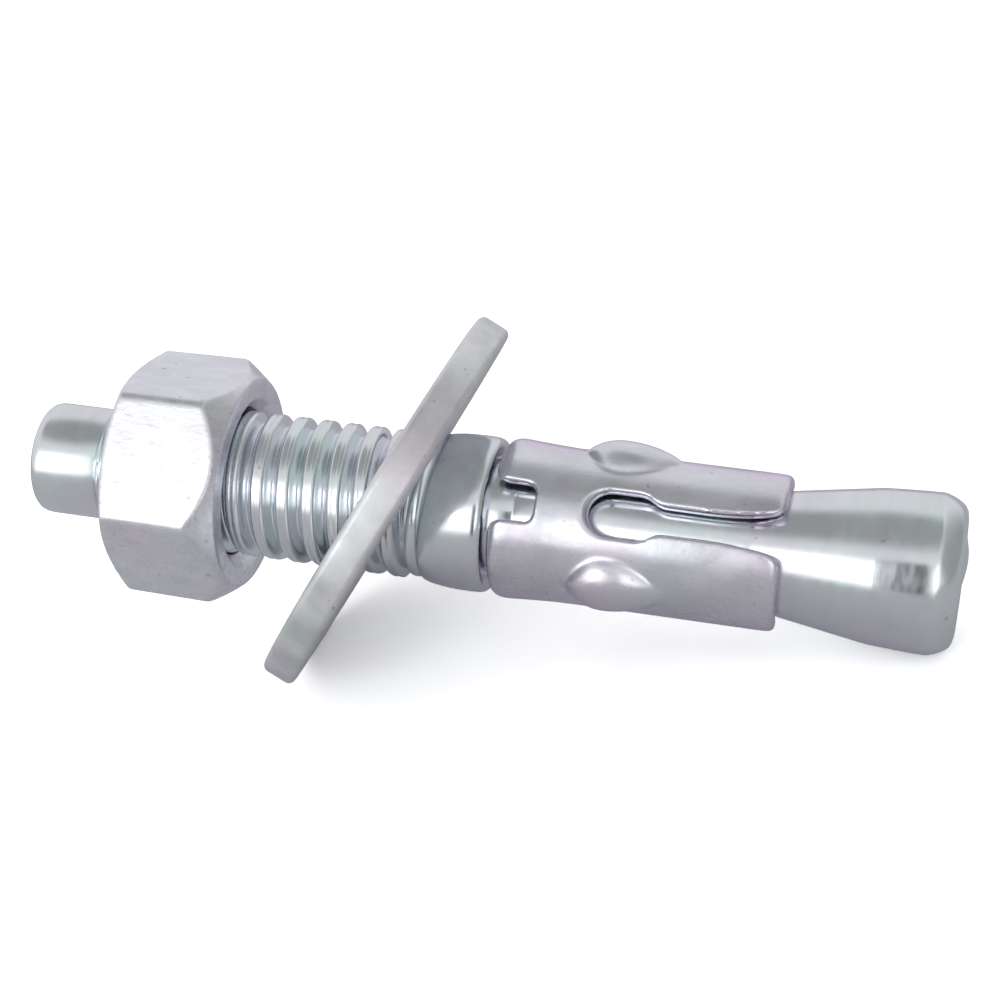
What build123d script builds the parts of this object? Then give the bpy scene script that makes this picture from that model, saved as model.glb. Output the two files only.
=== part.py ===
"""3/8-16 x 2-1/4 in wedge anchor, lying on its washer and its cone end.

One stud (drive point, threaded length, collar, neck and cone in one piece), a hex nut, a loose
washer that leans on the stud, and a rolled clip whose three petals the cone spreads in the hole.
Lengths are millimetres.  Stations are measured along the stud from the tip of its drive point,
and turns go round the stud from its upper side, right-handed about the way to the cone.
"""
import os
from math import asin, atan2, cos, hypot, pi, radians, sin, tan

from build123d import *

INCH = 25.4

# --- stud ---------------------------------------------------------------------------------
stud_length = 2.25 * INCH
point_r = 3.45
point_round = 0.9
thread_start = 4.2
thread_end = 24.7
thread_r = 4.45
bead_r = 4.26
bead_start = 24.95
collar_start = 25.6
collar_end = 29.6
collar_r = 4.72
collar_swell = 26.9
collar_swell_r = 4.64
collar_full = 27.9
shoulder = 0.3
neck_r = 3.42
cone_start = 45.1
cone_end = 51.8
cone_half_angle = 9.2
end_r = 4.72
end_start = 53.7
end_round = 1.0
nib_height = 0.25
nib_r = 3.1
nib_width = 0.8
nib_from = 15.0
nib_to = 60.0

# --- hex nut ------------------------------------------------------------------------------
nut_start = 6.75
nut_height = 7.3
nut_across_flats = 13.45
nut_top_across_flats = 13.25
nut_turned = 53.6
nut_corner_round = 0.4
nut_top_chamfer = 25.0
nut_top_circle_r = 6.45
nut_bearing_chamfer = 52.0
nut_bearing_circle_r = 6.4
nut_bore_r = 4.52
nut_mouth_r = 5.27

# --- washer -------------------------------------------------------------------------------
washer_r = 12.6
washer_hole_r = 5.65
washer_thickness = 2.1
washer_rim_break = 0.3
washer_hole_break = 0.2
washer_station = 22.45
washer_lift = 0.05
washer_lean = 27.5

# --- expansion clip -----------------------------------------------------------------------
clip_start = 29.9
clip_end = 46.85
clip_r = 4.62
sheet = 0.9
lip_r = 4.4
flare_r = 4.82
flare_start = 30.4
flare_end = 31.0
waist_r = 4.69
waist_start = 32.8
waist_end = 34.2
petals = 3
slot_turned = 45.3
slot_start = 35.65
slot_step = 38.8
slot_wide = 2.7
slot_narrow = 1.5
slot_flare_start = 43.4
slot_mouth = 2.3
petal_round = 0.6
notch_end = 32.5
notch_width = 2.3
notch_round = 0.5
notch_mouth_round = 0.8
seam_gap = 0.3
seam_slot = 2
bump_start = 34.35
bump_peak = 36.7
bump_end = 39.6
bump_height = 0.92
bump_sink = 0.95
bump_wall = 0.8

# --- how the anchor lies: on the washer's rim and on the rounded edge of the cone end ------
lean = radians(washer_lean)
end_face = stud_length - nib_height
end_edge = end_face - end_round
end_edge_r = end_r - end_round
rim_half = washer_thickness / 2 - washer_rim_break
along = end_edge - (washer_station - washer_r * sin(lean) + rim_half * cos(lean))
drop = washer_r * cos(lean) + rim_half * sin(lean) - washer_lift - end_edge_r
slope = atan2(drop, along) - asin(end_round / hypot(along, drop))
tip_height = end_edge * sin(slope) + end_edge_r * cos(slope) + end_round
reach_left = -(point_r - 0.9 * point_round) * sin(slope)
reach_nib = stud_length * cos(slope) + nib_r * cos(radians(nib_from)) * sin(slope)
tip_x = -(reach_left + reach_nib) / 2

stud_plane = Plane(
    origin=(tip_x, 0, tip_height),
    x_dir=(sin(slope), 0, cos(slope)),
    z_dir=(cos(slope), 0, -sin(slope)),
)
stud_axis = Axis(stud_plane.origin, stud_plane.z_dir)


def turned(turn):
    """The stud's own plane, turned round the stud."""
    x_dir = stud_plane.x_dir * cos(radians(turn)) + stud_plane.y_dir * sin(radians(turn))
    return Plane(origin=stud_plane.origin, x_dir=x_dir, z_dir=stud_plane.z_dir)


def section(turn=0):
    """A half-section plane through the stud: x is the radius, y is the station."""
    side = turned(turn)
    return Plane(origin=side.origin, x_dir=side.x_dir, z_dir=-side.y_dir)


def facing(turn):
    """A plane on the stud's axis that looks outwards: x is the station, y runs round."""
    side = turned(turn)
    return Plane(origin=side.origin, x_dir=side.z_dir, z_dir=side.x_dir)


# --- stud: one turned and rolled piece ----------------------------------------------------
cone_r = neck_r + (cone_end - cone_start) * tan(radians(cone_half_angle))
with BuildPart() as stud:
    with BuildSketch(section()):
        with BuildLine():
            Polyline(
                (0, 0),
                (point_r - 0.9 * point_round, 0),
                (point_r - 0.3 * point_round, 0.25 * point_round),
                (point_r, 0.8 * point_round),
                (point_r, thread_start),
                (thread_r, thread_start + thread_r - point_r),
                (thread_r, thread_end),
                (bead_r, bead_start),
                (bead_r, collar_start),
                (thread_r, collar_start + 0.3),
                (collar_swell_r, collar_swell),
                (collar_r, collar_full),
                (collar_r, collar_end - shoulder),
                (collar_r - shoulder, collar_end),
                (neck_r, collar_end),
                (neck_r, cone_start),
                (cone_r, cone_end),
                (end_r - 0.03, cone_end + 1.1),
                (end_r, end_start),
                (end_r, end_edge),
            )
            RadiusArc((end_r, end_edge), (end_edge_r, end_face), -end_round)
            Polyline((end_edge_r, end_face), (0, end_face), (0, 0))
        make_face()
    revolve(axis=stud_axis)
    with BuildSketch(turned(nib_from).offset(end_face - 0.1)):
        with BuildLine():
            outer = CenterArc((0, 0), nib_r, 0, nib_to - nib_from)
            inner = CenterArc((0, 0), nib_r - nib_width, 0, nib_to - nib_from)
            Line(outer @ 0, inner @ 0)
            Line(outer @ 1, inner @ 1)
        make_face()
    extrude(amount=nib_height + 0.1)
stud.part.label = "stud"

# --- hex nut ------------------------------------------------------------------------------
nut_end = nut_start + nut_height
nut_corner_r = nut_across_flats / 2 / cos(pi / 6)
top_drop = (nut_corner_r - nut_top_circle_r) * tan(radians(nut_top_chamfer))
bearing_drop = (nut_corner_r - nut_bearing_circle_r) * tan(radians(nut_bearing_chamfer))
mouth_depth = nut_mouth_r - nut_bore_r
with BuildPart() as hex_nut:
    with BuildSketch(turned(nut_turned).offset(nut_start)):
        RegularPolygon(nut_top_across_flats / 2, 6, major_radius=False, rotation=30)
        fillet(vertices(), nut_corner_round)
    with BuildSketch(turned(nut_turned).offset(nut_end)):
        RegularPolygon(nut_across_flats / 2, 6, major_radius=False, rotation=30)
        fillet(vertices(), nut_corner_round)
    loft()
    with BuildSketch(section()):
        with BuildLine():
            Polyline(
                (nut_bore_r, nut_start + mouth_depth),
                (nut_mouth_r, nut_start),
                (nut_top_circle_r, nut_start),
                (nut_corner_r, nut_start + top_drop),
                (nut_corner_r, nut_end - bearing_drop),
                (nut_bearing_circle_r, nut_end),
                (nut_mouth_r, nut_end),
                (nut_bore_r, nut_end - mouth_depth),
                close=True,
            )
        make_face()
    revolve(axis=stud_axis, mode=Mode.INTERSECT)
hex_nut.part.label = "hex_nut"

# --- washer: leaning across the stud ------------------------------------------------------
washer_plane = Plane(
    origin=stud_plane.from_local_coords((washer_lift, 0, washer_station)),
    x_dir=stud_plane.y_dir,
    z_dir=stud_plane.z_dir * cos(lean) - stud_plane.x_dir * sin(lean),
)
with BuildPart() as flat_washer:
    with BuildSketch(washer_plane):
        Circle(washer_r)
        Circle(washer_hole_r, mode=Mode.SUBTRACT)
    extrude(amount=washer_thickness / 2, both=True)
    chamfer(flat_washer.edges().sort_by(SortBy.LENGTH)[-2:], washer_rim_break)
    hole_edges = flat_washer.faces().filter_by(GeomType.CYLINDER).sort_by(SortBy.AREA)[0].edges()
    chamfer(hole_edges.filter_by(GeomType.CIRCLE), washer_hole_break)
flat_washer.part.label = "flat_washer"

# --- expansion clip: a stamped blank rolled round the neck --------------------------------
inner_r = clip_r - sheet
inner_flare_r = flare_r - sheet
bump_centre_r = clip_r - bump_sink
bump_top_r = clip_r + bump_height
dent_r = bump_top_r - bump_wall
with BuildPart() as expansion_clip:
    with BuildSketch(section()):
        with BuildLine():
            Polyline(
                (0, clip_start),
                (lip_r, clip_start),
                (flare_r, flare_start),
                (flare_r, flare_end),
                (waist_r, waist_start),
                (clip_r, waist_end),
                (clip_r, clip_end - 0.15),
                (clip_r - 0.15, clip_end),
                (0, clip_end),
                close=True,
            )
        make_face()
    revolve(axis=stud_axis)
    for petal in range(petals):
        bump_plane = section(slot_turned + (petal + 0.5) * 360 / petals)
        with BuildSketch(bump_plane):
            with BuildLine():
                Polyline(
                    (clip_r, bump_start),
                    (clip_r + 0.56 * bump_height, bump_start + 0.75),
                    (clip_r + 0.9 * bump_height, bump_peak - 0.8),
                    (bump_top_r, bump_peak - 0.2),
                    (bump_top_r, bump_peak + 0.2),
                    (clip_r + 0.9 * bump_height, bump_peak + 1.1),
                    (clip_r + 0.56 * bump_height, bump_end - 0.9),
                    (clip_r, bump_end),
                    (bump_centre_r, bump_end),
                    (bump_centre_r, bump_start),
                    close=True,
                )
            make_face()
        bump_axis = Axis(bump_plane.from_local_coords((bump_centre_r, 0, 0)), stud_axis.direction)
        revolve(axis=bump_axis)
    with BuildSketch(section()):
        with BuildLine():
            Polyline(
                (inner_flare_r, clip_start - 1),
                (inner_flare_r, flare_end),
                (inner_r, waist_end),
                (inner_r, clip_end + 1),
                (0, clip_end + 1),
                (0, clip_start - 1),
                close=True,
            )
        make_face()
    revolve(axis=stud_axis, mode=Mode.SUBTRACT)
    for petal in range(petals):
        bump_plane = section(slot_turned + (petal + 0.5) * 360 / petals)
        with BuildSketch(bump_plane):
            with BuildLine():
                Polyline(
                    (bump_centre_r, bump_start + 0.8),
                    (dent_r - 0.1, bump_start + 1.4),
                    (dent_r, bump_peak),
                    (dent_r - 0.1, bump_end - 1.6),
                    (bump_centre_r, bump_end - 0.8),
                    close=True,
                )
            make_face()
        bump_axis = Axis(bump_plane.from_local_coords((bump_centre_r, 0, 0)), stud_axis.direction)
        revolve(axis=bump_axis, mode=Mode.SUBTRACT)
    for petal in range(petals):
        outward = facing(slot_turned + petal * 360 / petals)
        with BuildSketch(outward):
            with BuildLine():
                RadiusArc((slot_start, 0), (slot_start + slot_wide / 2, slot_wide / 2), slot_wide / 2)
                Line((slot_start + slot_wide / 2, slot_wide / 2), (slot_step, slot_wide / 2))
                Spline(
                    (slot_step, slot_wide / 2),
                    (slot_step + 0.6, (slot_wide + slot_narrow) / 4),
                    (slot_step + 1.2, slot_narrow / 2),
                    tangents=((1, 0), (1, 0)),
                )
                Line((slot_step + 1.2, slot_narrow / 2), (slot_flare_start, slot_narrow / 2))
                Line((slot_flare_start, slot_narrow / 2), (clip_end - petal_round, slot_mouth / 2))
                RadiusArc(
                    (clip_end - petal_round, slot_mouth / 2),
                    (clip_end, slot_mouth / 2 + petal_round),
                    petal_round,
                )
                Polyline(
                    (clip_end, slot_mouth / 2 + petal_round),
                    (clip_end + 1, slot_mouth / 2 + petal_round),
                    (clip_end + 1, 0),
                )
                mirror(about=Plane.XZ)
            make_face()
            with BuildLine():
                Polyline((notch_end, 0), (notch_end, notch_width / 2 - notch_round))
                RadiusArc(
                    (notch_end, notch_width / 2 - notch_round),
                    (notch_end - notch_round, notch_width / 2),
                    notch_round,
                )
                Line(
                    (notch_end - notch_round, notch_width / 2),
                    (clip_start + notch_mouth_round, notch_width / 2),
                )
                RadiusArc(
                    (clip_start + notch_mouth_round, notch_width / 2),
                    (clip_start, notch_width / 2 + notch_mouth_round),
                    -notch_mouth_round,
                )
                Polyline(
                    (clip_start, notch_width / 2 + notch_mouth_round),
                    (clip_start - 1, notch_width / 2 + notch_mouth_round),
                    (clip_start - 1, 0),
                )
                mirror(about=Plane.XZ)
            make_face()
        extrude(amount=clip_r + 2, mode=Mode.SUBTRACT)
    with BuildSketch(facing(slot_turned + seam_slot * 360 / petals)):
        with Locations(((notch_end + slot_start) / 2, 0)):
            Rectangle(slot_start - notch_end + 1, seam_gap)
    extrude(amount=clip_r + 2, mode=Mode.SUBTRACT)
expansion_clip.part.label = "expansion_clip"

os.makedirs("parts", exist_ok=True)
export_step(stud.part, "parts/stud.step")
export_step(hex_nut.part, "parts/hex_nut.step")
export_step(flat_washer.part, "parts/flat_washer.step")
export_step(expansion_clip.part, "parts/expansion_clip.step")
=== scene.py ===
"""3/8-16 x 2-1/4 in wedge anchor lying on its washer and cone end."""
import bpy
import math
from mathutils import Matrix, Vector


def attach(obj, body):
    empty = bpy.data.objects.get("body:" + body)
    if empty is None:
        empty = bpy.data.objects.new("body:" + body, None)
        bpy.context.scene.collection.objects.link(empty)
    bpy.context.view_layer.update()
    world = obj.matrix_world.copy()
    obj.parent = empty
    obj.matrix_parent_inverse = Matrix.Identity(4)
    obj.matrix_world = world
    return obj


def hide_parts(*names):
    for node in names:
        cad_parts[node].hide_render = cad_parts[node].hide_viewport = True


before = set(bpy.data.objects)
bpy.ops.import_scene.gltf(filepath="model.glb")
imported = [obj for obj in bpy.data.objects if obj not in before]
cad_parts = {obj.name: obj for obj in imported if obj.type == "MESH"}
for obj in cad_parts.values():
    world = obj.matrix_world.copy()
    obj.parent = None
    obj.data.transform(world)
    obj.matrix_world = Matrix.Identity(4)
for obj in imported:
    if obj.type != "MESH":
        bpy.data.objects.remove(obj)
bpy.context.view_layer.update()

# ---------------------------------------------------------------- how the stud lies
SLOPE = math.radians(9.9004)
TIP = Vector((-0.0281799, 0.0, 0.0142758))
ALONG = Vector((math.cos(SLOPE), 0.0, -math.sin(SLOPE)))
UPWARD = Vector((math.sin(SLOPE), 0.0, math.cos(SLOPE)))
ASIDE = Vector((0.0, -1.0, 0.0))
MM = 0.001
PITCH = 25.4 / 16
SAME_POINT = 0.0005

lying = Matrix((UPWARD, ASIDE, ALONG)).transposed().to_4x4()
STUD_PLACE = Matrix.Translation(TIP) @ lying @ Matrix.Scale(MM, 4)
WASHER_LEAN = math.radians(27.5)
WASHER_YAW = math.radians(-2.2)
WASHER_PLACE = (
    STUD_PLACE
    @ Matrix.Translation((0.08, 0, 22.70))
    @ Matrix.Rotation(-WASHER_LEAN, 4, "Y")
    @ Matrix.Rotation(WASHER_YAW, 4, "X")
)


# ---------------------------------------------------------------- bench tools
def nothing_selected():
    bpy.ops.object.select_all(action="DESELECT")


def work_on(piece):
    nothing_selected()
    piece.select_set(True)
    bpy.context.view_layer.objects.active = piece


def begin_edit(piece, kind="VERT"):
    work_on(piece)
    bpy.ops.object.mode_set(mode="EDIT")
    bpy.ops.mesh.select_mode(type=kind)
    bpy.ops.mesh.select_all(action="DESELECT")


def end_edit():
    bpy.ops.object.mode_set(mode="OBJECT")


def pick_edges(piece, wanted):
    """Select the edges for which wanted(one end, other end) holds, and stay in edit mode."""
    begin_edit(piece, "EDGE")
    end_edit()
    points = piece.data.vertices
    for edge in piece.data.edges:
        edge.select = wanted(*(points[i].co for i in edge.vertices))
    bpy.ops.object.mode_set(mode="EDIT")


def turned(name, rings, sides, hollow=False):
    """A turned piece standing on its axis: rings of (station, radius), in millimetres."""
    nothing_selected()
    z0, r0 = rings[0]
    bpy.ops.mesh.primitive_circle_add(
        vertices=sides, radius=r0, location=(0, 0, z0), fill_type="NOTHING"
    )
    piece = bpy.context.object
    piece.name = name
    piece.data.name = name
    bpy.ops.object.transform_apply(location=True, rotation=True, scale=True)
    bpy.ops.object.mode_set(mode="EDIT")
    bpy.ops.mesh.select_mode(type="EDGE")
    bpy.ops.mesh.select_all(action="SELECT")
    if not hollow:
        bpy.ops.mesh.edge_face_add()
        bpy.ops.mesh.select_all(action="SELECT")
    for (za, ra), (zb, rb) in zip(rings, rings[1:]):
        bpy.ops.mesh.extrude_region_move(TRANSFORM_OT_translate={"value": (0, 0, zb - za)})
        k = rb / ra
        bpy.ops.transform.resize(value=(k, k, 1), center_override=(0, 0, 0))
    bpy.ops.mesh.select_all(action="SELECT")
    bpy.ops.mesh.remove_doubles(threshold=SAME_POINT)
    bpy.ops.mesh.normals_make_consistent(inside=False)
    end_edit()
    return piece


def finish_with(piece, kind, **settings):
    """Add one modifier and apply it."""
    work_on(piece)
    modifier = piece.modifiers.new(kind.title(), kind)
    for key, value in settings.items():
        setattr(modifier, key, value)
    bpy.ops.object.modifier_apply(modifier=modifier.name)


def cut(piece, tool, how="DIFFERENCE"):
    finish_with(piece, "BOOLEAN", object=tool, operation=how, solver="EXACT")
    bpy.data.objects.remove(tool)


def lay(piece, place):
    work_on(piece)
    piece.matrix_world = place
    bpy.ops.object.transform_apply(location=True, rotation=True, scale=True)


def smooth(piece, degrees):
    work_on(piece)
    bpy.ops.object.shade_smooth_by_angle(angle=math.radians(degrees))


def face_outwards(piece):
    """Recalculate a closed piece's normals, and turn them over if its volume comes out negative."""
    begin_edit(piece, "FACE")
    bpy.ops.mesh.select_all(action="SELECT")
    bpy.ops.mesh.normals_make_consistent(inside=False)
    end_edit()
    piece.data.calc_loop_triangles()
    points = piece.data.vertices
    volume = 0.0
    for triangle in piece.data.loop_triangles:
        a, b, c = (points[i].co for i in triangle.vertices)
        volume += a.dot(b.cross(c))
    if volume < 0:
        begin_edit(piece, "FACE")
        bpy.ops.mesh.select_all(action="SELECT")
        bpy.ops.mesh.flip_normals()
        end_edit()


def close_shell(piece):
    """Merge the doubles of a swept piece, cap its open ends and face it outwards."""
    begin_edit(piece)
    bpy.ops.mesh.select_all(action="SELECT")
    bpy.ops.mesh.remove_doubles(threshold=SAME_POINT)
    bpy.ops.mesh.select_all(action="DESELECT")
    bpy.ops.mesh.select_non_manifold()
    bpy.ops.mesh.fill_holes(sides=0)
    end_edit()
    face_outwards(piece)


def swept(name, section, angle, rise, turns, steps, closed=True):
    """A section of (radius, station) points, swept round the axis and along it by Screw."""
    mesh = bpy.data.meshes.new(name)
    rows = [(r, 0.0, z) for r, z in section]
    edges = [(i, i + 1) for i in range(len(rows) - 1)]
    if closed:
        edges.append((len(rows) - 1, 0))
    mesh.from_pydata(rows, edges, [])
    piece = bpy.data.objects.new(name, mesh)
    bpy.context.collection.objects.link(piece)
    finish_with(
        piece, "SCREW", angle=angle, screw_offset=rise, iterations=turns,
        steps=steps, render_steps=steps, use_merge_vertices=False,
    )
    return piece


def joined(piece, *others):
    """Join the others into the piece."""
    nothing_selected()
    for other in others:
        other.select_set(True)
    piece.select_set(True)
    bpy.context.view_layer.objects.active = piece
    bpy.ops.object.join()


def outline_cutter(name, points, turn, steps):
    """A flat outline (station, sideways) raised outwards from the axis, then turned round it.

    Each step is (radius reached, spread): the spread opens the outline about its middle.
    """
    mesh = bpy.data.meshes.new(name)
    mesh.from_pydata([(0.0, y, z) for z, y in points], [], [tuple(range(len(points)))])
    tool = bpy.data.objects.new(name, mesh)
    bpy.context.collection.objects.link(tool)
    middle = (min(z for z, y in points) + max(z for z, y in points)) / 2
    begin_edit(tool, "FACE")
    bpy.ops.mesh.select_all(action="SELECT")
    at = 0.0
    for radius, spread in steps:
        bpy.ops.mesh.extrude_region_move(TRANSFORM_OT_translate={"value": (radius - at, 0, 0)})
        across, lengthways = spread
        bpy.ops.transform.resize(value=(1, across, lengthways), center_override=(radius, 0, middle))
        at = radius
    bpy.ops.mesh.select_all(action="SELECT")
    bpy.ops.mesh.normals_make_consistent(inside=False)
    end_edit()
    tool.matrix_world = Matrix.Rotation(math.radians(turn), 4, "Z")
    bpy.ops.object.transform_apply(location=True, rotation=True, scale=True)
    return tool


# ---------------------------------------------------------------- thread
# stations run along the stud from its nominal drive point, in millimetres
CREST_AT = 1.2405
THREAD_ROOT = 3.76
THREAD_CREST = 4.43
SEAM_LIP = 4.45
SEAM_FLOOR = 4.41
CORE_R = 3.30
CREST_HALF = 0.175
VALLEY_STEPS = 7
THREAD_RISES = 4.95
THREAD_FADES = 24.35
THREAD_TURNS = 15


def thread_profile():
    """One pitch of the rolled thread: a round valley, and a crest with a fine seam along it.

    Points are (share of the pitch from the crest, radius).
    """
    form = [(-0.13, SEAM_LIP), (-0.05, 4.425), (0.0, SEAM_FLOOR), (0.05, 4.425), (0.13, SEAM_LIP)]
    valley_half = 0.5 - CREST_HALF
    depth = THREAD_CREST - THREAD_ROOT
    for side in (-1, 1):
        for step in range(VALLEY_STEPS + 1):
            across = 0.5 - valley_half * (1 - step / VALLEY_STEPS)
            down = (across - CREST_HALF) / valley_half
            radius = THREAD_ROOT + depth * (0.5 + 0.5 * math.cos(math.pi * down))
            form.append((side * across, radius))
    return sorted(form)


def stud_envelope(z):
    """How far the rolled thread may stand out at a station: it fades in and out."""
    rise = 3.35 + (z - THREAD_RISES)
    fade = SEAM_LIP - 1.6 * (z - THREAD_FADES)
    return max(CORE_R, min(SEAM_LIP, rise, fade))


def helical_thread():
    base = CREST_AT + PITCH
    section = [(r, base + u * PITCH) for u, r in thread_profile()]
    thread = swept(
        "thread", section, angle=math.tau, rise=PITCH, turns=THREAD_TURNS, steps=96, closed=False
    )
    for point in thread.data.vertices:
        x, y, z = point.co
        r = math.hypot(x, y)
        k = min(r, stud_envelope(z)) / r
        point.co = (x * k, y * k, z)
    close_shell(thread)
    return thread


# ---------------------------------------------------------------- stud
SHEARED_END = 56.8
BURR_FROM = 5
BURR_SWEEP = 65


def shear_burr():
    """The crescent left on the end face where the bar was sheared."""
    crest = [(1.9, 0.0), (2.2, 0.18), (2.6, 0.28), (2.95, 0.30), (3.2, 0.22), (3.45, 0.0)]
    section = [(r, SHEARED_END + height) for r, height in crest]
    burr = swept("burr", section, angle=math.radians(BURR_SWEEP), rise=0.0, turns=1, steps=26)
    lay(burr, Matrix.Rotation(math.radians(BURR_FROM), 4, "Z"))
    close_shell(burr)
    for point in burr.data.vertices:
        x, y, z = point.co
        share = (math.degrees(math.atan2(y, x)) - BURR_FROM) / BURR_SWEEP
        swell = 0.25 + 0.75 * math.sin(math.pi * min(max(share, 0.0), 1.0))
        point.co.z = SHEARED_END + (z - SHEARED_END) * swell
    return burr


def make_stud():
    drive_point = [
        (0.72, 0.6), (0.72, 2.8), (0.76, 3.02), (0.87, 3.22), (1.03, 3.36), (1.25, 3.43), (1.5, 3.45),
        (5.2, 3.45), (5.3, 3.38), (5.45, CORE_R),
    ]
    bead = [
        (24.8, CORE_R), (24.85, 4.05), (24.95, 4.18), (25.1, 4.25), (25.3, 4.26), (25.48, 4.22),
        (25.58, 4.18),
    ]
    collar = [
        (25.66, 4.3), (25.85, 4.43), (26.3, 4.55), (26.9, 4.64), (27.4, 4.69), (27.9, 4.71), (28.6, 4.715),
        (28.95, 4.70), (29.2, 4.68), (29.4, 4.62), (29.52, 4.53), (29.58, 4.40), (29.6, 4.2),
    ]
    neck = [(29.6, 3.42), (31.05, 3.42), (31.12, 3.395), (31.2, 3.42), (45.0, 3.42)]
    cone = [(45.2, 3.435), (51.9, 4.53), (52.0, 4.545), (52.08, 4.553), (53.0, 4.612), (53.8, 4.657)]
    end = [
        (54.6, 4.695), (55.4, 4.715), (55.55, 4.70), (55.7, 4.655), (56.1, 4.50), (56.45, 4.30),
        (56.7, 4.08), (56.84, 3.82), (56.9, 3.5), (56.9, 0.6),
    ]
    stud = turned("stud_steel", drive_point + bead + collar + neck + cone + end, sides=144)
    joined(stud, helical_thread(), shear_burr())
    lay(stud, STUD_PLACE)
    smooth(stud, 40)
    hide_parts("stud")
    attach(stud, "stud")
    return stud


# ---------------------------------------------------------------- nut
NUT_START = 6.75
NUT_HEIGHT = 7.3
NUT_END = NUT_START + NUT_HEIGHT
NUT_FLATS = 13.45
NUT_TURNED = math.radians(53.6 - 60.0)
NUT_BORE_R = 4.52
NUT_MOUTH = 0.75
CORNER_ROUND = 0.42
CORNER_CLEAR_R = 7.78
RIDGE_MOUTH_R = 5.32
RIDGE_INSET = 0.5
RIDGE_BURIED_R = 4.82


def hexagon():
    """The nut's blank: a hexagon, slightly smaller at its outer end, with rounded corners."""
    nothing_selected()
    bpy.ops.mesh.primitive_cylinder_add(
        vertices=6, radius=NUT_FLATS / 2 / math.cos(math.pi / 6), depth=NUT_HEIGHT,
        location=(0, 0, NUT_START + NUT_HEIGHT / 2), rotation=(0, 0, NUT_TURNED),
    )
    nut = bpy.context.object
    nut.name = "nut_steel"
    nut.data.name = "nut_steel"
    bpy.ops.object.transform_apply(location=True, rotation=True, scale=True)
    pick_edges(nut, lambda a, b: max(a.z, b.z) < NUT_START + 0.1)
    bpy.ops.transform.resize(value=(0.985, 0.985, 1), center_override=(0, 0, 0))
    end_edit()
    pick_edges(nut, lambda a, b: abs(a.z - b.z) > 1)
    bpy.ops.mesh.bevel(offset=CORNER_ROUND, segments=5)
    end_edit()
    return nut


def inner_thread():
    """A ridge that runs in the stud's grooves and fades out in the nut's two mouths."""
    groove = CREST_AT + PITCH / 2
    first = math.ceil((NUT_START - 2.2 * PITCH - groove) / PITCH) + 1
    base = groove + first * PITCH
    flank = [(4.62, -0.60), (4.48, -0.50), (3.98, -0.18), (3.94, -0.12)]
    form = flank + [(r, -z) for r, z in reversed(flank)]
    section = [(r, base + z) for r, z in form]
    ridge = swept("ridge", section, angle=math.tau, rise=PITCH, turns=7, steps=72)
    for point in ridge.data.vertices:
        x, y, z = point.co
        r = math.hypot(x, y)
        inside = min(z - NUT_START, NUT_END - z)
        low = RIDGE_MOUTH_R - max(inside, 0.0)
        if inside < RIDGE_INSET:
            z = min(max(z, NUT_START + RIDGE_INSET), NUT_END - RIDGE_INSET)
            low = RIDGE_BURIED_R
        k = max(r, low) / r
        point.co = (x * k, y * k, z)
    close_shell(ridge)
    return ridge


def make_nut():
    nut = hexagon()
    chamfers = [
        (NUT_START, 0.5), (NUT_START, 6.45), (NUT_START + 0.62, CORNER_CLEAR_R),
        (NUT_END - 1.75, CORNER_CLEAR_R), (NUT_END, 6.40), (NUT_END, 0.5),
    ]
    cut(nut, turned("chamfers", chamfers, sides=144), "INTERSECT")
    bore = [
        (NUT_START - 1, 0.5), (NUT_START - 1, 6.27), (NUT_START + NUT_MOUTH, NUT_BORE_R),
        (NUT_END - NUT_MOUTH, NUT_BORE_R), (NUT_END + 1, 6.27), (NUT_END + 1, 0.5),
    ]
    cut(nut, turned("bore", bore, sides=144))
    finish_with(nut, "REMESH", mode="VOXEL", voxel_size=0.11, adaptivity=0.0)
    finish_with(nut, "SMOOTH", factor=0.5, iterations=7)
    joined(nut, inner_thread())
    lay(nut, STUD_PLACE)
    smooth(nut, 45)
    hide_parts("hex_nut")
    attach(nut, "nut")
    return nut


# ---------------------------------------------------------------- washer
WASHER_R = 12.55
WASHER_HALF = 2.1 / 2
WASHER_HOLE_R = 5.71
RIM_ROUND = 0.43
RIM_STEPS = 6


def make_washer():
    half, rim = WASHER_HALF, WASHER_R - RIM_ROUND
    rings = [(-half, WASHER_HOLE_R + 0.15), (-half, rim)]
    for i in range(1, RIM_STEPS + 1):
        a = i / RIM_STEPS * math.pi / 2
        rings.append((-half + RIM_ROUND * (1 - math.cos(a)), rim + RIM_ROUND * math.sin(a)))
    for i in range(RIM_STEPS + 1):
        a = i / RIM_STEPS * math.pi / 2
        rings.append((half - RIM_ROUND * (1 - math.sin(a)), rim + RIM_ROUND * math.cos(a)))
    hole = [(half, 0.15), (half - 0.05, 0.05), (half - 0.15, 0.0)]
    hole += [(-z, r) for z, r in reversed(hole)]
    rings += [(z, WASHER_HOLE_R + r) for z, r in hole]
    washer = turned("washer_steel", rings, sides=160, hollow=True)
    lay(washer, WASHER_PLACE)
    smooth(washer, 40)
    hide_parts("flat_washer")
    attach(washer, "washer")
    return washer


# ---------------------------------------------------------------- expansion clip
PETALS = 3
SLOT_TURNED = 45.3
SEAM_SLOT = 2
SEAM_HALF = 0.15
KEYHOLE_START = 35.65
KEYHOLE_R = 1.35
NOTCH_END = 32.5
CLIP_INNER_R = 3.72
CLIP_OUTER_R = 4.62
PAST_THE_CLIP = 7.5
BUMP_CENTRE = (3.67, 0, 36.9)
BUMP_HEIGHT = 1.87
BUMP_HALF_WIDTH = 2.1
BUMP_TAIL = 4.15
BUMP_NOSE = 2.6


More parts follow.
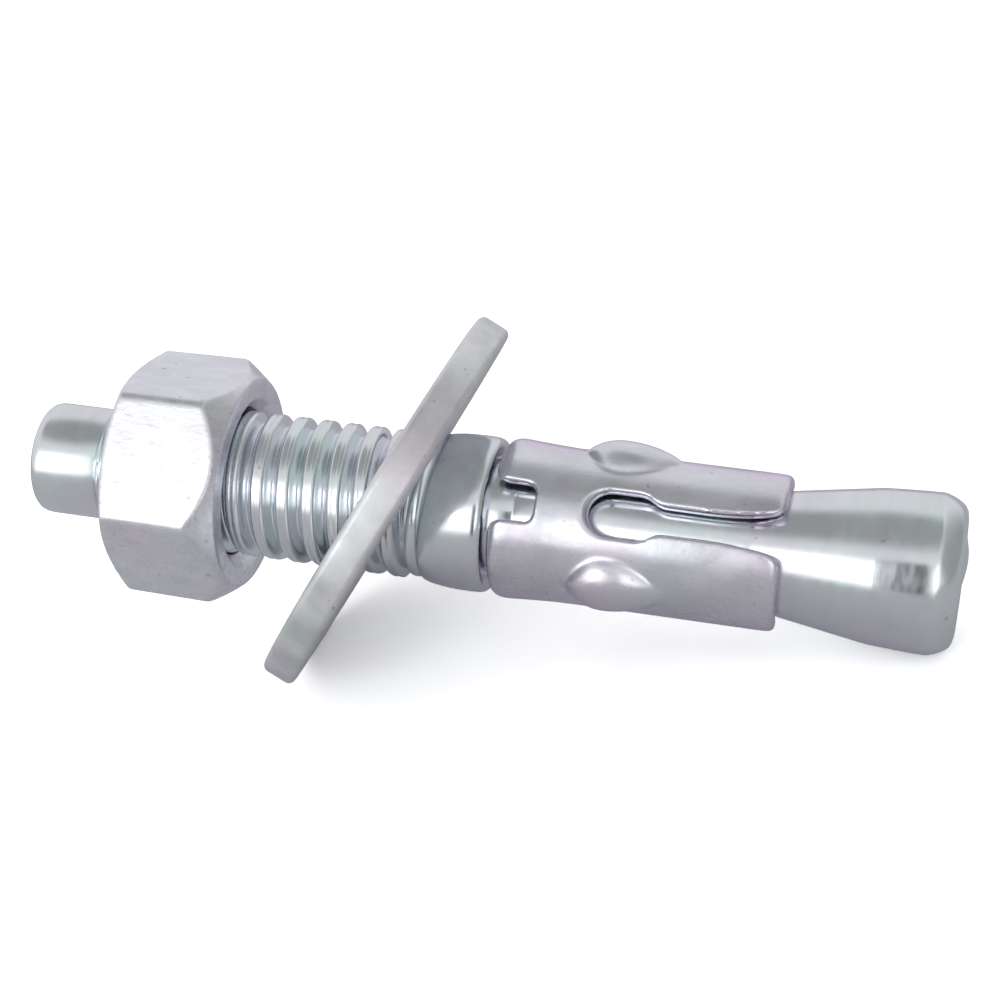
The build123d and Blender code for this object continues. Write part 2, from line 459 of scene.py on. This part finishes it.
def keyhole():
    """Half outline of the slot between two petals: (station, half width)."""
    half = []
    for i in range(0, 9):
        a = i / 8 * math.pi / 2
        half.append((KEYHOLE_START + KEYHOLE_R * (1 - math.cos(a)), KEYHOLE_R * math.sin(a)))
    half += [(38.5, KEYHOLE_R), (38.8, 1.31), (39.1, 1.18), (39.4, 0.98), (39.7, 0.82), (40.0, 0.76)]
    half += [(42.6, 0.74), (43.6, 0.78), (44.6, 0.88), (45.4, 0.99), (46.1, 1.16), (46.5, 1.36)]
    half += [(46.75, 1.62), (46.95, 2.1), (48.0, 2.1)]
    return half


def notch():
    """Half outline of the open notch at the collar end."""
    half = [(NOTCH_END, 0.0), (NOTCH_END, 0.62), (32.42, 0.88), (32.24, 1.06), (31.98, 1.14), (30.8, 1.14)]
    half += [(30.45, 1.2), (30.15, 1.38), (29.95, 1.7), (29.8, 2.2), (29.0, 2.2)]
    return half


def mirrored(half):
    other = [(z, -y) for z, y in reversed(half) if abs(y) > 1e-6]
    return half + other


def rolled_strip():
    """The strip rolled round the neck, flared at the collar end and with a rounded lip."""
    outer = [
        (29.93, 4.05), (29.92, 4.28), (29.98, 4.45), (30.12, 4.62), (30.35, 4.75), (30.65, 4.81),
        (31.0, 4.80), (31.5, 4.765), (32.0, 4.735), (32.6, 4.70), (33.2, 4.665), (34.0, 4.63),
        (35.0, CLIP_OUTER_R), (45.9, CLIP_OUTER_R), (46.5, 4.60), (46.72, 4.52), (46.82, 4.36), (46.85, 4.1),
    ]
    inner = [
        (46.85, 3.95), (46.78, 3.80), (46.6, CLIP_INNER_R), (34.2, CLIP_INNER_R), (32.5, 3.82),
        (31.0, 3.90), (30.2, 3.92), (29.97, 3.97), (29.93, 4.05),
    ]
    return turned("clip_steel", outer + inner, sides=160, hollow=True)


def pressed_bump(turn):
    """A long drop with a short nose towards the collar and a long tail towards the cone."""
    nothing_selected()
    bpy.ops.mesh.primitive_uv_sphere_add(segments=64, ring_count=32, radius=1.0)
    bump = bpy.context.object
    for point in bump.data.vertices:
        x, y, z = point.co
        pinch = 1 - 0.3 * z * z
        reach = BUMP_TAIL if z > 0 else BUMP_NOSE
        point.co = (BUMP_HEIGHT * x, BUMP_HALF_WIDTH * pinch * y, reach * z)
    bump.matrix_world = Matrix.Rotation(math.radians(turn), 4, "Z") @ Matrix.Translation(BUMP_CENTRE)
    work_on(bump)
    bpy.ops.object.transform_apply(location=True, rotation=True, scale=True)
    return bump


def make_clip():
    clip = rolled_strip()
    slot_turns = [SLOT_TURNED + petal * 360 / PETALS for petal in range(PETALS)]
    for turn in slot_turns:
        cut(clip, pressed_bump(turn + 180 / PETALS), "UNION")
    neck_room = [
        (29.0, 0.5), (29.0, 3.9), (31.0, 3.9), (34.2, CLIP_INNER_R),
        (48.0, CLIP_INNER_R), (48.0, 0.5),
    ]
    cut(clip, turned("neck_room", neck_room, sides=160))
    straight = (1, 1)
    keyhole_steps = [(4.2, straight), (4.75, (1.3, 1.055)), (PAST_THE_CLIP, straight)]
    notch_steps = [(4.35, straight), (4.85, (1.22, 1.08)), (PAST_THE_CLIP, straight)]
    for turn in slot_turns:
        cut(clip, outline_cutter("keyhole", mirrored(keyhole()), turn, keyhole_steps))
        cut(clip, outline_cutter("notch", mirrored(notch()), turn, notch_steps))
    seam = [(32.0, -SEAM_HALF), (36.5, -SEAM_HALF), (36.5, SEAM_HALF), (32.0, SEAM_HALF)]
    cut(clip, outline_cutter("seam", seam, slot_turns[SEAM_SLOT], [(PAST_THE_CLIP, straight)]))
    finish_with(clip, "REMESH", mode="VOXEL", voxel_size=0.1, adaptivity=0.0)
    finish_with(clip, "SMOOTH", factor=0.5, iterations=16)
    lay(clip, STUD_PLACE)
    work_on(clip)
    bpy.ops.object.shade_smooth()
    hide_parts("expansion_clip")
    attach(clip, "clip")
    return clip


# ---------------------------------------------------------------- zinc plate
PIT_DEPTH = 0.3
GRAIN_HEIGHT = 0.00004


def zinc(name, tone, edge_tone, roughness, mottle, grain, streak):
    """Bright zinc plate: lilac and green-blue clouds, rolled or drawn streaks, a few pits."""
    material = bpy.data.materials.new(name)
    material.use_nodes = True
    tree = material.node_tree
    nodes, links = tree.nodes, tree.links
    steel = nodes["Principled BSDF"]
    steel.inputs["Metallic"].default_value = 1.0
    steel.inputs["Specular Tint"].default_value = (*edge_tone, 1.0)
    place = nodes.new("ShaderNodeTexCoord")
    along = nodes.new("ShaderNodeMapping")
    along.vector_type = "TEXTURE"
    along.inputs["Rotation"].default_value = (0, SLOPE, 0)
    links.new(place.outputs["Object"], along.inputs["Vector"])

    def noise(scale, detail, roughness=0.55, stretch=(1, 1, 1)):
        stretched = nodes.new("ShaderNodeVectorMath")
        stretched.operation = "MULTIPLY"
        stretched.inputs[1].default_value = stretch
        links.new(along.outputs["Vector"], stretched.inputs[0])
        texture = nodes.new("ShaderNodeTexNoise")
        texture.inputs["Scale"].default_value = scale
        texture.inputs["Detail"].default_value = detail
        texture.inputs["Roughness"].default_value = roughness
        links.new(stretched.outputs["Vector"], texture.inputs["Vector"])
        return texture.outputs["Fac"]

    def ranged(value, low, high, at_low, at_high):
        node = nodes.new("ShaderNodeMapRange")
        node.inputs["From Min"].default_value = low
        node.inputs["From Max"].default_value = high
        node.inputs["To Min"].default_value = at_low
        node.inputs["To Max"].default_value = at_high
        links.new(value, node.inputs["Value"])
        return node.outputs["Result"]

    def times(a, b):
        node = nodes.new("ShaderNodeMix")
        node.data_type = "RGBA"
        node.blend_type = "MULTIPLY"
        node.inputs["Factor"].default_value = 1.0
        links.new(a, node.inputs["A"])
        links.new(b, node.inputs["B"])
        return node.outputs["Result"]

    red, green, blue = tone
    tint = nodes.new("ShaderNodeValToRGB")
    lilac, cyan = tint.color_ramp.elements
    lilac.position = 0.32
    lilac.color = (red, green * 0.94, blue * 1.01, 1.0)
    cyan.position = 0.68
    cyan.color = (red * 0.945, green * 1.02, blue, 1.0)
    links.new(noise(170.0, 3.0), tint.inputs["Fac"])
    clouds = ranged(noise(330.0, 6.0, 0.65, streak), 0.3, 0.62, 1 - mottle * 2, 1.0)
    spots = ranged(noise(1900.0, 1.0), 0.2, 0.27, 1.0 - PIT_DEPTH, 1.0)
    links.new(times(times(tint.outputs["Color"], clouds), spots), steel.inputs["Base Color"])
    dullness = ranged(noise(700.0, 5.0, 0.6, streak), 0.3, 0.7, roughness * 0.7, roughness * 1.4)
    links.new(dullness, steel.inputs["Roughness"])
    bump = nodes.new("ShaderNodeBump")
    bump.inputs["Strength"].default_value = min(1.0, grain * 10)
    bump.inputs["Distance"].default_value = GRAIN_HEIGHT
    links.new(noise(1300.0, 5.0, 0.6, streak), bump.inputs["Height"])
    links.new(bump.outputs["Normal"], steel.inputs["Normal"])
    return material


def dress(piece, material):
    piece.data.materials.clear()
    piece.data.materials.append(material)


stud_zinc = zinc(
    "stud_zinc", (0.78, 0.82, 0.83), (0.97, 0.93, 1.0), 0.19,
    mottle=0.04, grain=0.006, streak=(2.0, 0.6, 0.6),
)
nut_zinc = zinc(
    "nut_zinc", (0.84, 0.85, 0.875), (0.97, 0.89, 1.0), 0.30,
    mottle=0.06, grain=0.03, streak=(1.5, 2.4, 3.0),
)
washer_zinc = zinc(
    "washer_zinc", (0.86, 0.86, 0.865), (0.95, 0.89, 0.98), 0.46,
    mottle=0.12, grain=0.04, streak=(0.7, 0.7, 0.7),
)
clip_zinc = zinc(
    "clip_zinc", (0.83, 0.82, 0.87), (0.96, 0.85, 1.0), 0.26,
    mottle=0.08, grain=0.02, streak=(0.6, 1.0, 1.0),
)

dress(make_stud(), stud_zinc)
dress(make_nut(), nut_zinc)
dress(make_washer(), washer_zinc)
dress(make_clip(), clip_zinc)
for node, material in (
    ("stud", stud_zinc), ("hex_nut", nut_zinc),
    ("flat_washer", washer_zinc), ("expansion_clip", clip_zinc),
):
    dress(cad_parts[node], material)

# ---------------------------------------------------------------- floor, light, camera
nothing_selected()
bpy.ops.mesh.primitive_plane_add(size=3.0, location=(0, 0, 0))
floor = bpy.context.object
floor.name = "floor"
paper = bpy.data.materials.new("paper")
paper.use_nodes = True
tree = paper.node_tree
matte = tree.nodes["Principled BSDF"]
matte.inputs["Roughness"].default_value = 1.0
matte.inputs["Specular IOR Level"].default_value = 0.0
ray = tree.nodes.new("ShaderNodeLightPath")
shade = tree.nodes.new("ShaderNodeMix")
shade.data_type = "RGBA"
shade.inputs["A"].default_value = (0.66, 0.66, 0.67, 1)
shade.inputs["B"].default_value = (2.1, 2.1, 2.1, 1)
tree.links.new(ray.outputs["Is Camera Ray"], shade.inputs["Factor"])
tree.links.new(shade.outputs["Result"], matte.inputs["Base Color"])
floor.data.materials.append(paper)

world = bpy.data.worlds.new("tent")
bpy.context.scene.world = world
world.use_nodes = True
tree = world.node_tree
sky = tree.nodes["Background"]
sky.inputs["Color"].default_value = (1, 1, 1, 1)
way = tree.nodes.new("ShaderNodeTexCoord")
part = tree.nodes.new("ShaderNodeSeparateXYZ")
tree.links.new(way.outputs["Generated"], part.inputs["Vector"])


def sky_step(axis, low, high, at_low, at_high):
    """A soft step over one component of the direction."""
    step = tree.nodes.new("ShaderNodeMapRange")
    step.interpolation_type = "SMOOTHSTEP"
    step.inputs["From Min"].default_value = low
    step.inputs["From Max"].default_value = high
    step.inputs["To Min"].default_value = at_low
    step.inputs["To Max"].default_value = at_high
    tree.links.new(part.outputs[axis], step.inputs["Value"])
    return step.outputs["Result"]


def sky_math(operation, a, b):
    node = tree.nodes.new("ShaderNodeMath")
    node.operation = operation
    tree.links.new(a, node.inputs[0])
    tree.links.new(b, node.inputs[1])
    return node.outputs["Value"]


ceiling = sky_step("Z", 0.80, 0.96, 0.80, 0.36)
far_side = sky_step("X", 0.35, 0.85, 1.0, 0.45)
panel = sky_math("MULTIPLY", sky_step("Y", -0.85, -0.5, 1.0, 0.0), sky_step("Z", 0.0, 0.14, 0.0, 1.0))
panel = sky_math("MULTIPLY", panel, sky_step("Z", 0.56, 0.74, 0.85, 0.0))
tent_light = sky_math("MULTIPLY", sky_math("ADD", ceiling, panel), far_side)
path = tree.nodes.new("ShaderNodeLightPath")
seen = tree.nodes.new("ShaderNodeMix")
seen.data_type = "FLOAT"
tree.links.new(path.outputs["Is Camera Ray"], seen.inputs["Factor"])
tree.links.new(tent_light, seen.inputs["A"])
seen.inputs["B"].default_value = 1.0
tree.links.new(seen.outputs["Result"], sky.inputs["Strength"])


def softbox(name, where, target, size, watts):
    nothing_selected()
    bpy.ops.object.light_add(type="AREA", location=where)
    lamp = bpy.context.object
    lamp.name = name
    lamp.data.shape = "RECTANGLE"
    lamp.data.size, lamp.data.size_y = size
    lamp.data.energy = watts
    lamp.rotation_euler = (Vector(target) - Vector(where)).to_track_quat("-Z", "Y").to_euler()
    return lamp


softbox("key", (-0.12, -0.30, 0.17), (0, 0, 0.01), (0.16, 0.10), 0.12)

# a black card behind the camera, seen only as a reflection in the cone end
CARD_FOOT = Vector((0.0165, -0.1545, 0.0070))
CARD_HEAD = Vector((0.0343, -0.1133, 0.1086))
CARD_WIDTH = 0.033
nothing_selected()
bpy.ops.mesh.primitive_plane_add(size=1.0, location=(CARD_FOOT + CARD_HEAD) / 2)
card = bpy.context.object
card.name = "black_card"
card.scale = (CARD_WIDTH, (CARD_HEAD - CARD_FOOT).length, 1)
rise = (CARD_HEAD - CARD_FOOT).normalized()
facing_in = Vector((1, 0, 0)).cross(rise).normalized()
card.rotation_euler = Matrix((rise.cross(facing_in), rise, facing_in)).transposed().to_euler()
card.visible_camera = False
black = bpy.data.materials.new("black_card")
black.use_nodes = True
velvet = black.node_tree.nodes["Principled BSDF"]
velvet.inputs["Base Color"].default_value = (0.02, 0.02, 0.025, 1)
velvet.inputs["Roughness"].default_value = 0.9
card.data.materials.append(black)

camera_data = bpy.data.cameras.new("camera")
camera = bpy.data.objects.new("camera", camera_data)
bpy.context.scene.collection.objects.link(camera)
camera_data.sensor_width = 36.0
camera_data.lens = 71.84
camera_data.clip_start = 0.005
camera_data.clip_end = 10
CAMERA_AT = Vector((0.0353296, -0.0992143, 0.0665275))
RIGHT = Vector((0.958034, 0.237401, -0.160661))
UP = Vector((0.021697, 0.498808, 0.866441))
BACK = Vector((0.285833, -0.833565, 0.472725))
turned_to = Matrix((RIGHT, UP, BACK)).transposed().to_4x4()
camera.matrix_world = Matrix.Translation(CAMERA_AT) @ turned_to
bpy.context.scene.camera = camera
bpy.context.scene.view_settings.view_transform = "Standard"
